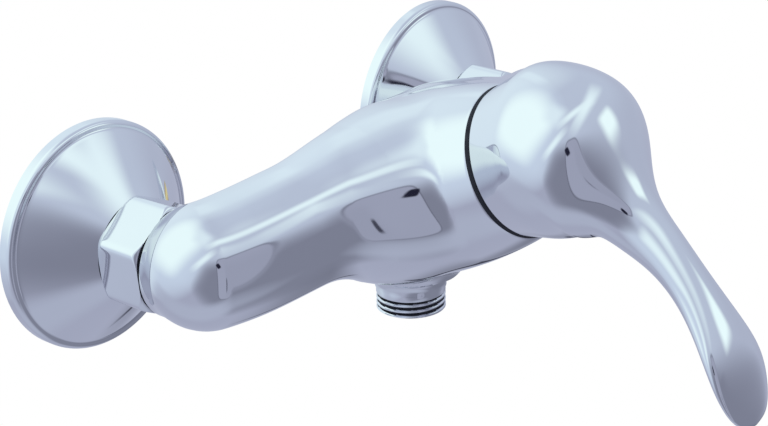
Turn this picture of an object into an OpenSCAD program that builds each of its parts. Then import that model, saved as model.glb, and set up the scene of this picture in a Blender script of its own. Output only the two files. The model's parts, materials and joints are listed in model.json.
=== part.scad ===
// Wall-mounted single-lever shower mixer with two bell flanges, union nuts, a cast body
// and a ball-headed paddle lever over a tilted ceramic cartridge.
// X runs along the wall, Y runs into the wall, Z is up. The origin lies on the wall plane,
// midway between the two inlets. Depths are measured out from the wall, along -Y.

/* [Inlets] */
// Distance between the two inlet centres
inlet_centres = 150; // [140:1:164]
// Radius of each wall flange at the wall
flange_radius = 33.8; // [30:0.1:38]
// Depth of each wall flange from the wall to its nose
flange_depth = 19.6; // [17:0.1:24]
// Height of the rounded rim of the flange
flange_rim = 4.2; // [3:0.1:6]
// Wall thickness of the flange
flange_wall = 1.2; // [0.8:0.1:2]
// Radius of the flat nose of the flange
flange_nose = 15.2; // [14.6:0.1:17]
// Radius of the 3/4 inch thread on the mixer side of each eccentric union
union_thread = 13.22; // [12:0.01:13.4]
// Radius of the 1/2 inch thread that enters the wall
wall_thread = 10.48; // [9:0.01:11]
// Length of the thread that enters the wall
wall_thread_length = 15; // [10:0.5:16]
// Offset between the two threads of the eccentric union
union_offset = 8; // [4:0.5:9]
// Radius of the waterway in the wall side of the eccentric union
union_bore = 7.5; // [6:0.1:8]
// Hexagon of the union nut, across its flats
nut_flats = 30; // [29.6:0.1:33]
// Length of the union nut
nut_length = 15.8; // [14:0.1:18]
// Thickness of the nut's inner lip
nut_lip = 2.4; // [1.6:0.1:3]
// Thickness of the sealing washer inside the nut
washer_thickness = 2.2; // [1.5:0.1:3]
// Thickness of the inlet nipple's collar
nipple_collar = 2.6; // [2:0.1:3.4]
// Radius of the inlet nipple's threaded shank
nipple_shank = 10.4; // [9.8:0.05:10.8]
// How far the inlet nipple screws into the body
nipple_grip = 12; // [9:0.5:13]

/* [Body] */
// Depth of the elbow centres from the wall
elbow_depth = 47; // [45:0.5:52]
// Height of the elbow centres above the inlet axis
elbow_rise = 1.9; // [0:0.1:3]
// Radius of each round elbow
elbow_radius = 17.9; // [17:0.1:19]
// Radius of each arm at its waist
arm_radius = 18.1; // [17:0.1:19.5]
// Radius of the casting where the two arms meet
middle_radius = 26.8; // [25:0.1:28]
// Radius of the round collar behind each union nut
collar_radius = 15.5; // [15:0.1:16]
// How far the arms arch up between elbow and middle
arm_arch = 1.9; // [0:0.1:3]
// Width over which the arms flow into the barrel housing
blend_width = 28; // [16:1:30]
// Tilt of the cartridge axis above the horizontal
cartridge_tilt = 24; // [18:0.5:28]
// Depth of the split between body and handle, measured on the cartridge axis
split_depth = 98.6; // [96:0.1:102]
// Height of the split above the inlets, measured on the cartridge axis
split_height = 22.6; // [20:0.1:25]
// Radius of body and handle at the split
split_radius = 22; // [21.6:0.1:24]
// Radius of the barrel-shaped housing at its back
housing_radius = 26.9; // [26:0.1:29]

/* [Outlet] */
// Depth of the outlet axis from the wall
outlet_depth = 56.1; // [54:0.1:58]
// Height of the outlet's lower face, below the inlet axis
outlet_drop = 33.9; // [32:0.1:38]
// Radius of the 1/2 inch outlet thread
outlet_thread = 10.48; // [9.5:0.01:11]
// Length of the outlet nipple that shows below the casting
outlet_length = 7.4; // [6:0.1:9]
// Radius of the nipple's shank inside the casting
outlet_shank = 8.8; // [8:0.1:9.2]
// Length of the nipple's shank inside the casting
outlet_grip = 9.5; // [7:0.5:10]
// Width across the flats of the hexagon socket in the nipple
outlet_socket = 12; // [10:0.5:12.4]

/* [Cartridge] */
// Radius of the cartridge
cartridge_radius = 17.4; // [16.9:0.1:17.5]
// Depth of the cartridge seat behind the split
seat_depth = 40; // [39:0.5:41]
// Height of the lever's pivot above the cartridge's foot
pivot_height = 22; // [21.5:0.5:22.5]
// Radius of the lever's pivot pin
pin_radius = 1.6; // [1.2:0.1:2]
// Radius of the lever stem
stem_radius = 4.5; // [4:0.1:4.8]
// Length of the lever stem above the pivot
stem_reach = 44; // [43:0.5:46]
// Distance from the pivot down to the ball end of the stem
ball_reach = 7.5; // [7:0.1:7.8]
// Radius of the ball end of the stem
ball_radius = 2.8; // [2.4:0.1:2.9]
// Thickness of each ceramic disc
disc_thickness = 3; // [2.6:0.1:3.2]
// Radius of the fixed ceramic disc
fixed_disc_radius = 14.4; // [13.5:0.1:14.8]
// Radius of the moving ceramic disc
moving_disc_radius = 10.6; // [10:0.1:11.2]

/* [Handle] */
// Largest radius of the handle's ball head
head_radius = 24.6; // [24.2:0.1:26]
// Thickness of the handle's rim at the split
rim_wall = 1; // [0.8:0.1:1.2]
// How far the lever's tip stands out from the wall
lever_reach = 177.3; // [172:0.5:184]
// How far the lever's tip hangs below the inlet axis
lever_drop = 35.6; // [30:0.5:42]
// Half of the paddle's greatest width
paddle_half_width = 11.8; // [9:0.1:14]
// Half of the lever's width at its neck
neck_half_width = 7.7; // [6:0.1:9]
// Thickness of the lever at the middle of the paddle
paddle_thickness = 7; // [5:0.1:8]
// How far the lever lifts from closed to fully open, in degrees
lift_angle = 22; // [16:1:23]
// Radius of the grub screw
grub_radius = 2.5; // [2:0.1:3]
// Length of the grub screw
grub_length = 7; // [5:0.5:8]

/* [Fits] */
// Gap between pieces that don't touch, such as nut and body
joint_gap = 0.25; // [0.2:0.01:0.3]
// Radial clearance of a screwed joint
thread_fit = 0.08; // [0.05:0.01:0.1]
// Radial clearance of pieces that slide or turn in each other
running_fit = 0.08; // [0.05:0.01:0.1]
// Clearance between the lifting handle and what stays still beneath it
lift_gap = 0.3; // [0.25:0.01:0.4]

/* [Hidden] */

$fn = 64;
eps = 0.01;

// Depths along each inlet, out from the wall
nut_back = flange_depth + joint_gap;
nut_front = nut_back + nut_length;
collar_front = nut_front - nut_lip - 0.05;
washer_front = collar_front - nipple_collar;
union_front = washer_front - washer_thickness;
body_back = nut_front + joint_gap;
nipple_front = body_back + nipple_grip;
nut_bore = union_thread + thread_fit;
collar_fit = nut_bore - 0.5;

// Corners of the wall flange's outline, and the turn of the nut's corners about its axis
rim_round = 1.6;
nose_round = 0.8;
cone_foot = [flange_radius - 2.6, flange_rim + 0.6];
nut_turn = 36;

// Check valve, carried in the bore of the inlet nipple
cage_radius = nipple_shank - 2.9;
cage_inner = cage_radius - 1.2;
cage_length = nipple_collar + nut_lip + 9.4;
cage_lip = 1;
seat_bore = cage_inner - 1.7;
seat_thickness = 1.6;
poppet_radius = cage_inner - 0.7;
poppet_thickness = 1.6;
poppet_stem = 1.3;
poppet_travel = 2.5;
spider_thickness = 1.6;
spring_wire = 0.25;
spring_radius = 3.2;
spring_turns = 5;
spring_start = washer_front + cage_lip + seat_thickness + poppet_thickness;
spring_end = washer_front + cage_length - spider_thickness;

// Cartridge, in a frame whose Z is the cartridge axis and whose zero is the split
base_plate = 3;
base_spigot = 2.4;
pivot_depth = seat_depth - pivot_height;
shoulder_depth = pivot_depth - 4;
neck_radius = 13.2;
neck_top = -4;
housing_inner = cartridge_radius - 1.9;
clamp_radius = cartridge_radius + 1.2;
clamp_top = -5;
clamp_bottom = -shoulder_depth;
fixed_disc_top = -seat_depth + base_plate + base_spigot + disc_thickness;
moving_disc_top = fixed_disc_top + disc_thickness;
carrier_top = moving_disc_top + 3.9;
rotor_bottom = carrier_top + 0.3;
rotor_neck = 10.6;
rotor_top = neck_top + 1.5;
rest_lean = lift_angle / 2;
ball_z = -pivot_depth - ball_reach * cos(rest_lean);
ball_u = ball_reach * sin(rest_lean);
stem_neck = 0.84 * ball_radius;
stem_shoulder = 4.6;
pin_length = 24;
port_radius = 3.4;
port_spread = 7.6;
port_seal_radius = port_radius + 1.3;
port_seal_height = 2;

// Spheres about the pivot: what stays still lies inside the first one, the handle outside the last
rim_inner = split_radius - rim_wall;
rim_bottom = 0.4;
handle_clear = sqrt(rim_inner * rim_inner + pow(rim_bottom + pivot_depth, 2));
shoulder_sphere = handle_clear - lift_gap;
dome_sphere = shoulder_sphere - 0.2;
dome_wall = 1.2;
dome_opening = 11.6;
dome_skirt = 3.6;
dome_skirt_wall = 1.4;
body_face = -0.4;

// Outlet
nipple_top = -outlet_drop + outlet_length;
seal_height = 1.5;
outlet_bore = 6.2;
outlet_channel = 5;

// Grub screw, square to the stem
grub_height = stem_reach - 4;
grub_start = stem_radius + running_fit;
plug_radius = grub_radius + 0.4;
plug_length = 3;
plug_start = 14;
grub_boss_reach = plug_start + 2.4;
socket_roof = 6;
socket_radius = stem_radius + 3;
socket_bottom = handle_clear + 0.4;

function smooth(t) = let (c = min(1, max(0, t))) c * c * (3 - 2 * c);

// Point of a spline through the rows of p at the fraction s of the span that starts at row i
function spline(p, i, s) =
    let (
        n = len(p) - 1,
        b = p[i],
        c = p[i + 1],
        a = i > 0 ? p[i - 1] : 2 * b - c,
        d = i + 2 <= n ? p[i + 2] : 2 * c - b
    )
    0.5 * (2 * b + (c - a) * s + (2 * a - 5 * b + 4 * c - d) * s * s + (3 * b - a - 3 * c + d) * s * s * s);

function resample(p, k) = [
    for (i = [0 : len(p) - 2]) for (j = [0 : k - 1]) spline(p, i, j / k),
    p[len(p) - 1]
];

// Closed solid through rings of points that all have the same count
module skin(rings) {
    n = len(rings[0]);
    m = len(rings);
    points = [for (r = rings) each r];
    sides = [
        for (i = [0 : m - 2]) for (j = [0 : n - 1])
            let (a = i * n + j, b = i * n + (j + 1) % n, c = a + n, d = b + n)
            each [[a, b, d], [a, d, c]]
    ];
    first = [for (j = [1 : n - 2]) [0, j + 1, j]];
    last = [for (j = [1 : n - 2]) [(m - 1) * n, (m - 1) * n + j, (m - 1) * n + j + 1]];
    polyhedron(points, concat(sides, first, last), convexity = 6);
}

// Children drawn round +Z are laid along -Y from the wall, at the left (-1) or right (1) inlet
module at_inlet(side) {
    translate([side * inlet_centres / 2, 0, 0]) rotate([90, 0, 0]) children();
}

// Children are placed in the cartridge frame
module at_cartridge() {
    translate([0, -split_depth, split_height]) rotate([90 - cartridge_tilt, 0, 0]) children();
}

// Children are placed on the lever's pivot, leaning by the given angle
module at_pivot(lean) {
    at_cartridge() translate([0, 0, -pivot_depth]) rotate([lean, 0, 0]) children();
}

module tube(outer, inner, from, to) {
    rotate_extrude() translate([inner, from]) square([outer - inner, to - from]);
}

function arc(cx, cy, r, from, to, n) = [
    for (i = [0 : n]) let (a = from + (to - from) * i / n) [cx + r * cos(a), cy + r * sin(a)]
];

// Wall flange: a bell with a rounded rim, a straight cone and a flat nose
module wall_flange(side) {
    slope = atan2(flange_depth - nose_round - cone_foot[1], flange_nose - cone_foot[0]);
    outer = concat(
        [[flange_radius, 0]],
        arc(flange_radius - rim_round, flange_rim - rim_round, rim_round, 0, 90, 6),
        [cone_foot],
        arc(flange_nose - nose_round, flange_depth - nose_round, nose_round, slope - 90, 90, 4),
        [[nut_bore, flange_depth]]
    );
    inner = [
        [nut_bore, flange_depth - flange_wall],
        [flange_nose - 1.2, flange_depth - flange_wall],
        [cone_foot[0] - 0.7, cone_foot[1] - flange_wall],
        [flange_radius - flange_wall - 0.8, flange_rim - flange_wall],
        [flange_radius - flange_wall, flange_rim - rim_round - 0.4],
        [flange_radius - flange_wall, 0]
    ];
    color("gainsboro") at_inlet(side) rotate_extrude($fn = 96) polygon(concat(outer, inner));
}

// Eccentric union: the wall thread sits lower than the mixer thread, with a round shoulder between.
// A relief groove ends the wall thread in front of the shoulder.
module eccentric_union(side) {
    shoulder_from = 2.6;
    shoulder_to = 8.4;
    shoulder_radius = union_thread + union_offset / 2 + 0.4;
    relief = 0.6;
    inner = union_thread - 3.6;
    color("silver") at_inlet(side) difference() {
        union() {
            translate([0, -union_offset, -wall_thread_length])
                cylinder(r = wall_thread, h = wall_thread_length + shoulder_from - relief);
            translate([0, -union_offset, 0]) cylinder(r = wall_thread - relief, h = shoulder_from + eps);
            translate([0, -union_offset / 2, shoulder_from])
                cylinder(r = shoulder_radius, h = shoulder_to - shoulder_from);
            translate([0, 0, shoulder_from]) cylinder(r = union_thread, h = union_front - shoulder_from);
        }
        translate([0, -union_offset, -wall_thread_length - 1])
            cylinder(r = union_bore, h = wall_thread_length + shoulder_to - 1);
        translate([0, 0, shoulder_to - 4]) cylinder(r = inner, h = union_front);
    }
}

module inlet_washer(side) {
    color("dimgray") at_inlet(side) tube(collar_fit, cage_radius + 1.8, union_front, washer_front);
}

// Union nut: a hexagon turned down to a round at both ends, threaded inside, with an inner lip
module union_nut(side) {
    flat = nut_flats / 2;
    corner = flat / cos(30);
    chamfer = (corner - flat) * tan(30) + 0.4;
    color("whitesmoke") at_inlet(side) difference() {
        intersection() {
            translate([0, 0, nut_back]) rotate(nut_turn) cylinder(r = corner, h = nut_length, $fn = 6);
            rotate_extrude() polygon([
                [0, nut_back],
                [flat + 0.1, nut_back],
                [corner + 0.1, nut_back + chamfer],
                [corner + 0.1, nut_front - chamfer],
                [flat + 0.1, nut_front],
                [0, nut_front]
            ]);
        }
        translate([0, 0, nut_back - 1]) cylinder(r = nut_bore, h = nut_length - nut_lip + 1);
        translate([0, 0, nut_back]) cylinder(r = nipple_shank + running_fit, h = nut_length + 1);
    }
}

// Inlet nipple: a collar held by the nut, and a shank screwed into the body
module inlet_nipple(side) {
    color("goldenrod") at_inlet(side) difference() {
        union() {
            translate([0, 0, washer_front]) cylinder(r = collar_fit, h = nipple_collar);
            translate([0, 0, washer_front]) cylinder(r = nipple_shank, h = nipple_front - washer_front);
        }
        translate([0, 0, washer_front - 1]) cylinder(r = cage_radius + running_fit, h = nipple_front);
        translate([0, 0, washer_front - 1]) cylinder(r = cage_radius + 1.6, h = 1 + cage_lip);
    }
}

// Check valve cage: a seat at the inlet end and a four-armed guide at the other
module check_valve_cage(side) {
    color("ivory") at_inlet(side) translate([0, 0, washer_front]) {
        difference() {
            union() {
                cylinder(r = cage_radius + 1.5, h = cage_lip);
                cylinder(r = cage_radius, h = cage_length);
            }
            translate([0, 0, -1]) cylinder(r = seat_bore, h = cage_length);
            translate([0, 0, cage_lip + seat_thickness])
                cylinder(r = cage_inner, h = cage_length);
        }
        translate([0, 0, cage_length - spider_thickness]) difference() {
            union() {
                cylinder(r = poppet_stem + 1.4, h = spider_thickness);
                for (a = [0, 90]) rotate(a)
                    translate([-cage_inner - 0.4, -0.7, 0])
                        cube([2 * cage_inner + 0.8, 1.4, spider_thickness]);
            }
            translate([0, 0, -1]) cylinder(r = poppet_stem + running_fit, h = spider_thickness + 2);
        }
    }
}

module check_valve_poppet(side) {
    face = washer_front + cage_lip + seat_thickness;
    color("lightgray") at_inlet(side) translate([0, 0, face]) {
        cylinder(r = poppet_radius, h = poppet_thickness);
        cylinder(r = poppet_stem, h = spring_end - face + spider_thickness - 0.4);
    }
}

// Spring: one wire wound from the poppet to the guide
module check_valve_spring(side) {
    steps = 12;
    turns = spring_turns * steps;
    lift = spring_end - spring_start - 2 * spring_wire - 0.02;
    rings = [
        for (i = [0 : turns])
            let (a = 360 * i / steps, z = spring_start + spring_wire + 0.01 + lift * smooth(i / turns))
            [for (j = [0 : 5]) let (b = -60 * j, r = spring_radius + spring_wire * cos(b))
                [r * cos(a), r * sin(a), z + spring_wire * sin(b)]]
    ];
    color("silver") at_inlet(side) skin(rings);
}

// Casting: arms swept from the round elbows to the middle, where they flow into the barrel housing
arm_steps = 22;
arm_sides = 40;
elbow_steps = 6;
middle_depth = split_depth - seat_depth * cos(cartridge_tilt) + 0.5;
middle_rise = split_height - seat_depth * sin(cartridge_tilt) + 1.2;

// Shares of the way from elbow to middle: where the arms begin to swell, and over how much they do
swell_from = 0.35;
swell_over = 0.51;
// How soon the arms reach the middle's height, and how soon their arch ends
rise_pace = 1.65;
arch_pace = 1.2;

// The barrel keeps its back inside the arms. The skin lies just under it where they don't meet.
housing_round = 13;
housing_back = -seat_depth - 2;
barrel_curve = 2.2;
skin_inset = 0.15;
blend_fade = 30;

// Centre of the arms at the share t of the way from the middle (0) to an elbow (-1 or 1)
function arm_centre(t) =
    let (s = 1 - abs(t))
    [
        t * inlet_centres / 2,
        -elbow_depth - (middle_depth - elbow_depth) * (1 - t * t),
        elbow_rise + (middle_rise - elbow_rise) * smooth(rise_pace * s)
            + arm_arch * sin(180 * min(1, arch_pace * s))
    ];

function arm_size(t) =
    let (s = 1 - abs(t))
    elbow_radius + (arm_radius - elbow_radius) * smooth(6 * s)
        + (middle_radius - arm_radius) * smooth((s - swell_from) / swell_over);

function housing_size(z) =
    let (s = min(1, max(0, -z / seat_depth)))
    split_radius + (housing_radius - split_radius) * (1 - pow(1 - s, barrel_curve));

// For a point: its height along the cartridge axis, its gap to the housing and the way out of it
function housing_at(p) =
    let (
        y = p[1] + split_depth,
        z = p[2] - split_height,
        up = y * sin(cartridge_tilt) + z * cos(cartridge_tilt),
        along = z * sin(cartridge_tilt) - y * cos(cartridge_tilt),
        across = norm([p[0], up]),
        out = [p[0], up * sin(cartridge_tilt), up * cos(cartridge_tilt)] / max(across, eps),
        axis = [0, -cos(cartridge_tilt), sin(cartridge_tilt)],
        rim = max(0, across - housing_radius + housing_round),
        reach = norm([rim, housing_back - along])
    )
    along > housing_back
        ? [along, max(across - housing_size(along), along + 1), out]
        : [along, reach - housing_round, (rim * out + (along - housing_back) * axis) / max(reach, eps)];

// Gap to the skin, for a point at a known gap from the arm's surface and in the direction d from its centre.
// Where arm and housing meet squarely the blend is full, and where they run alike there is none.
function skin_gap(p, d, arm) =
    let (
        house = housing_at(p),
        gap = house[1] + skin_inset,
        turn = 1 - max(0, d * house[2]),
        width = max(eps, blend_width * turn * smooth(-house[0] / blend_fade)),
        share = max(0, width - abs(arm - gap)) / width
    )
    min(arm, gap) - share * share * width / 4;

// Radius of the skin in the direction d from the arm's centre c, found by halving
function skin_radius(c, d, r, low, high, tries) =
    tries == 0 ? low :
    let (m = (low + high) / 2, inside = skin_gap(c + m * d, d, m - r) < 0)
    skin_radius(c, d, r, inside ? m : low, inside ? high : m, tries - 1);

function unit(v) = v / norm(v);

// Directions round an arm that runs along d
function round_about(d) =
    let (side = unit(cross(d, [0, 0, 1])), up = cross(side, d))
    [for (j = [0 : arm_sides - 1]) let (a = 360 * j / arm_sides) cos(a) * side + sin(a) * up];

function arm_ring(t) =
    let (
        c = arm_centre(t),
        r = arm_size(t),
        d = unit(arm_centre(min(1, t + 0.01)) - arm_centre(max(-1, t - 0.01)))
    )
    [for (out = round_about(d)) c + skin_radius(c, out, r, r - 1, split_depth, 13) * out];

// Rings of the round elbow at one end, from its pole inwards
function elbow_rings(end) =
    let (c = arm_centre(end), d = unit(c - arm_centre(0.99 * end)))
    [for (i = [0 : elbow_steps - 1]) let (a = 4 + 86 * i / elbow_steps)
        [for (out = round_about(end * d)) c + elbow_radius * (cos(a) * d + sin(a) * out)]];

// Share along the arm of a section, with the sections closer where the arm meets the housing
function arm_place(u) =
    let (crowd = 0.09, shift = 43)
    u == 0 ? 0 : sign(u) * (abs(u) + crowd * (sin(360 * abs(u) + shift) - sin(shift)));

module arms() {
    far = elbow_rings(1);
    skin(concat(
        elbow_rings(-1),
        [for (i = [-arm_steps : arm_steps]) arm_ring(arm_place(i / arm_steps))],
        [for (i = [elbow_steps - 1 : -1 : 0]) far[i]]
    ));
    for (side = [-1, 1]) at_inlet(side)
        translate([0, 0, body_back]) cylinder(r = collar_radius, h = elbow_depth - body_back);
}

// Barrel housing round the cartridge, in the cartridge frame
module housing() {
    steps = 10;
    rotate_extrude($fn = 96) polygon(concat(
        [[0, 0]],
        [for (i = [0 : steps]) let (z = housing_back * i / steps) [housing_size(z), z]],
        arc(housing_radius - housing_round, housing_back, housing_round, 0, -80, 8),
        [[0, housing_back - housing_round]]
    ));
}

// Round cove from the casting down to the outlet nipple
module outlet_boss() {
    cove = 4.6;
    translate([0, -outlet_depth, nipple_top]) rotate_extrude() polygon(concat(
        [[0, 0]],
        arc(outlet_thread + 0.3 + cove, 0.6, cove, 180, 90, 6),
        [[outlet_thread + 1.6 + cove, cove + 4], [0, cove + 8]]
    ));
}

// Water channel through the casting between two points
module channel(from, to, radius) {
    d = to - from;
    translate(from) rotate([0, acos(d[2] / norm(d)), atan2(d[1], d[0])]) cylinder(r = radius, h = norm(d));
}

module body_channels() {
    at_cartridge() {
        translate([0, 0, -seat_depth]) cylinder(r = cartridge_radius + running_fit, h = seat_depth + 1);
        translate([0, 0, clamp_bottom]) cylinder(r = clamp_radius + thread_fit, h = shoulder_depth + 1);
        for (x = [-1, 1])
            translate([x * port_spread, 3, -seat_depth - 8]) cylinder(r = port_radius, h = 9);
        translate([0, -port_spread, -seat_depth - 9]) cylinder(r = port_radius, h = 10);
        difference() {
            translate([0, 0, body_face - 6]) cylinder(r = split_radius + 6, h = 12);
            translate([0, 0, -pivot_depth]) sphere(r = shoulder_sphere, $fn = 96);
        }
        translate([0, 0, body_face]) cylinder(r = split_radius + 6, h = 6);
    }
    translate([0, -outlet_depth, nipple_top - 1])
        cylinder(r = outlet_shank + thread_fit, h = outlet_grip + seal_height + 1);
    translate([0, -outlet_depth, nipple_top]) cylinder(r = outlet_channel, h = 24);
    for (side = [-1, 1]) {
        at_inlet(side) {
            cylinder(r = elbow_radius + 2, h = body_back);
            translate([0, 0, body_back - 1])
                cylinder(r = nipple_shank + thread_fit, h = nipple_grip + 2);
        }
        channel(
            [side * (inlet_centres / 2 - 1), -nipple_front + 1, 1],
            [side * 6.5, -middle_depth + 7, middle_rise - 0.6],
            5
        );
    }
}

module body() {
    color("lightsteelblue") difference() {
        union() {
            arms();
            at_cartridge() housing();
            outlet_boss();
        }
        body_channels();
    }
}

module outlet_nipple() {
    lead = 0.8;
    color("lightslategray") translate([0, -outlet_depth, 0]) difference() {
        union() {
            translate([0, 0, nipple_top]) cylinder(r = outlet_shank, h = outlet_grip);
            translate([0, 0, -outlet_drop + lead]) cylinder(r = outlet_thread, h = outlet_length - lead);
            translate([0, 0, -outlet_drop])
                cylinder(r1 = outlet_thread - lead, r2 = outlet_thread, h = lead);
        }
        translate([0, 0, -outlet_drop - 1])
            cylinder(r = outlet_bore - 1, h = outlet_length + outlet_grip + 2);
        translate([0, 0, -outlet_drop - 1])
            cylinder(r = outlet_socket / 2 / cos(30), h = outlet_length + 1, $fn = 6);
    }
}

module outlet_seal_ring() {
    color("black") translate([0, -outlet_depth, nipple_top + outlet_grip])
        tube(outlet_shank - 0.1, outlet_bore, 0, seal_height);
}

// Places of the three ports, in the cartridge frame
ports = [[-port_spread, 3], [port_spread, 3], [0, -port_spread]];

module port_holes(radius, from, to) {
    for (p = ports) translate([p[0], p[1], from]) cylinder(r = radius, h = to - from);
}

module cartridge_base() {
    color("white") at_cartridge() difference() {
        union() {
            translate([0, 0, -seat_depth]) cylinder(r = cartridge_radius, h = base_plate);
            translate([0, 0, -seat_depth])
                cylinder(r = housing_inner - running_fit, h = base_plate + base_spigot);
        }
        port_holes(port_radius, -seat_depth - 1, fixed_disc_top);
        port_holes(port_seal_radius, -seat_depth - 1, -seat_depth + port_seal_height);
    }
}

module cartridge_port_seals() {
    color("black") at_cartridge() for (p = ports) translate([p[0], p[1], 0])
        tube(port_seal_radius - 0.02, port_radius - 0.4, -seat_depth, -seat_depth + port_seal_height);
}

module fixed_ceramic_disc() {
    color("ghostwhite") at_cartridge() difference() {
        translate([0, 0, fixed_disc_top - disc_thickness])
            cylinder(r = fixed_disc_radius, h = disc_thickness);
        port_holes(port_radius - 0.4, fixed_disc_top - disc_thickness - 1, fixed_disc_top + 1);
    }
}

// The moving disc has a blind pocket beneath that joins the ports when it slides
module moving_ceramic_disc() {
    color("snow") at_cartridge() difference() {
        translate([0, 0, fixed_disc_top]) cylinder(r = moving_disc_radius, h = disc_thickness);
        translate([0, -1, fixed_disc_top - 1])
            cylinder(r = moving_disc_radius - 4.6, h = 1 + disc_thickness / 2);
    }
}

// Carrier: caps the moving disc and takes the stem's ball in a cross slot
module disc_carrier() {
    rim = 0.9;
    color("khaki") at_cartridge() difference() {
        union() {
            translate([0, 0, moving_disc_top])
                cylinder(r = moving_disc_radius + rim, h = carrier_top - moving_disc_top);
            tube(moving_disc_radius + rim, moving_disc_radius + 0.02, moving_disc_top - 1.8, moving_disc_top);
        }
        translate([-ball_radius - 0.6, ball_u - ball_radius - running_fit, ball_z - ball_radius - 0.4])
            cube([2 * ball_radius + 1.2, 2 * (ball_radius + running_fit), pivot_height]);
    }
}

// Rotor: turns in the housing, and has the slot and the pin on which the stem tips
module cartridge_rotor() {
    slot = 2 * (stem_radius + running_fit);
    reach = stem_radius + (rotor_top + pivot_depth) * tan(rest_lean) + 1.2;
    color("burlywood") at_cartridge() difference() {
        union() {
            translate([0, 0, rotor_bottom])
                cylinder(r = housing_inner - running_fit, h = -shoulder_depth - 1.9 - rotor_bottom);
            translate([0, 0, rotor_bottom]) cylinder(r = rotor_neck, h = rotor_top - rotor_bottom);
        }
        translate([-slot / 2, -reach, rotor_bottom - 1])
            cube([slot, 2 * reach, rotor_top - rotor_bottom + 2]);
        translate([-pin_length / 2, 0, -pivot_depth]) rotate([0, 90, 0])
            cylinder(r = pin_radius + 0.02, h = pin_length);
    }
}

module stem_pivot_pin() {
    color("silver") at_cartridge() translate([-pin_length / 2, 0, -pivot_depth]) rotate([0, 90, 0])
        cylinder(r = pin_radius, h = pin_length);
}

module lever_stem() {
    color("darkgoldenrod") at_pivot(rest_lean) difference() {
        union() {
            translate([0, 0, -stem_shoulder]) cylinder(r = stem_radius, h = stem_shoulder + stem_reach);
            translate([0, 0, -ball_reach]) cylinder(r = stem_neck, h = ball_reach);
            translate([0, 0, -ball_reach]) sphere(r = ball_radius);
        }
        translate([-stem_radius - 1, 0, 0]) rotate([0, 90, 0])
            cylinder(r = pin_radius + running_fit, h = 2 * stem_radius + 2);
    }
}

module cartridge_housing() {
    top_wall = 1.9;
    color("whitesmoke") at_cartridge() difference() {
        union() {
            translate([0, 0, -seat_depth + base_plate])
                cylinder(r = cartridge_radius, h = seat_depth - base_plate - shoulder_depth);
            translate([0, 0, -shoulder_depth - 1])
                cylinder(r = neck_radius, h = neck_top + shoulder_depth + 1);
        }
        translate([0, 0, -seat_depth])
            cylinder(r = housing_inner, h = seat_depth - shoulder_depth - top_wall + 0.1);
        translate([0, 0, -seat_depth]) cylinder(r = rotor_neck + running_fit, h = seat_depth);
    }
}

// Clamp nut: screwed into the body, with four slots for a spanner
module cartridge_clamp_nut() {
    color("goldenrod") at_cartridge() difference() {
        tube(clamp_radius, neck_radius + 0.1, clamp_bottom, clamp_top);
        for (a = [0, 90]) rotate(a)
            translate([-clamp_radius - 1, -2, clamp_top - 2]) cube([2 * clamp_radius + 2, 4, 3]);
    }
}

// Cover dome: a ball zone about the lever's pivot, screwed into the mouth of the body
module cover_dome() {
    color("gainsboro") at_cartridge() {
        difference() {
            translate([0, 0, -pivot_depth]) sphere(r = dome_sphere, $fn = 96);
            translate([0, 0, -pivot_depth]) sphere(r = dome_sphere - dome_wall, $fn = 96);
            translate([0, 0, body_face - 2 * dome_sphere]) cylinder(r = 2 * dome_sphere, h = 2 * dome_sphere);
            translate([0, 0, body_face - 1]) cylinder(r = dome_opening, h = 2 * dome_sphere);
        }
        tube(clamp_radius, clamp_radius - dome_skirt_wall, body_face - dome_skirt, body_face + dome_wall);
    }
}

// Heights above the split, in the cartridge frame, at which the head has grown by shares of its growth
head_swell = [[5, 0.38], [10.5, 0.82], [16.5, 1]];
hollow_start = 14;
hollow_rise = 16.5;
hollow_wall = 4.4;
hollow_end = 70;

// Handle: sections given by their top and bottom points in the middle plane and by their half width.
// Each row is [depth of top, height of top, depth of bottom, height of bottom, half width].
function ring_row(z, r) =
    let (t = cartridge_tilt, d = split_depth + z * cos(t), h = split_height + z * sin(t))
    [d - r * sin(t), h + r * cos(t), d + r * sin(t), h - r * cos(t), r];

// Depth and height of a lever point, as shares of the way from the head's centre to the tip
head_depth = split_depth + 16 * cos(cartridge_tilt);
head_height = split_height + 16 * sin(cartridge_tilt);
lever_out = lever_reach - head_depth;
lever_down = head_height + lever_drop;

function lever_section(out, down, thick, lean, half) =
    let (d = head_depth + lever_out * out, h = head_height - lever_down * down)
    [
        d + thick / 2 * cos(lean), h + thick / 2 * sin(lean),
        d - thick / 2 * cos(lean), h - thick / 2 * sin(lean), half
    ];

handle_rows = [
    ring_row(rim_bottom, split_radius),
    for (s = head_swell) ring_row(s[0], split_radius + s[1] * (head_radius - split_radius)),
    lever_section(0.144, 0.005, 44.3, 96.3, 0.935 * head_radius),
    lever_section(0.241, 0.072, 34.2, 85.6, 0.732 * head_radius),
    lever_section(0.307, 0.156, 23.3, 79.4, 0.537 * head_radius),
    lever_section(0.386, 0.240, 17.2, 77.2, 0.398 * head_radius),
    lever_section(0.514, 0.338, 12.6, 71.0, neck_half_width + 0.1),
    lever_section(0.659, 0.469, 1.35 * paddle_thickness, 53.6, neck_half_width),
    lever_section(0.781, 0.609, 1.18 * paddle_thickness, 38.1, 0.83 * paddle_half_width),
    lever_section(0.876, 0.752, paddle_thickness, 39.2, paddle_half_width),
    lever_section(0.938, 0.887, 0.73 * paddle_thickness, 45.0, 0.88 * paddle_half_width),
    lever_section(0.975, 0.971, 0.42 * paddle_thickness, 47.7, 0.54 * paddle_half_width),
    lever_section(0.990, 0.998, 0.09 * paddle_thickness, 51.3, 0.05 * paddle_half_width)
];
handle_sides = 32;
handle_steps = 4;

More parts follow.
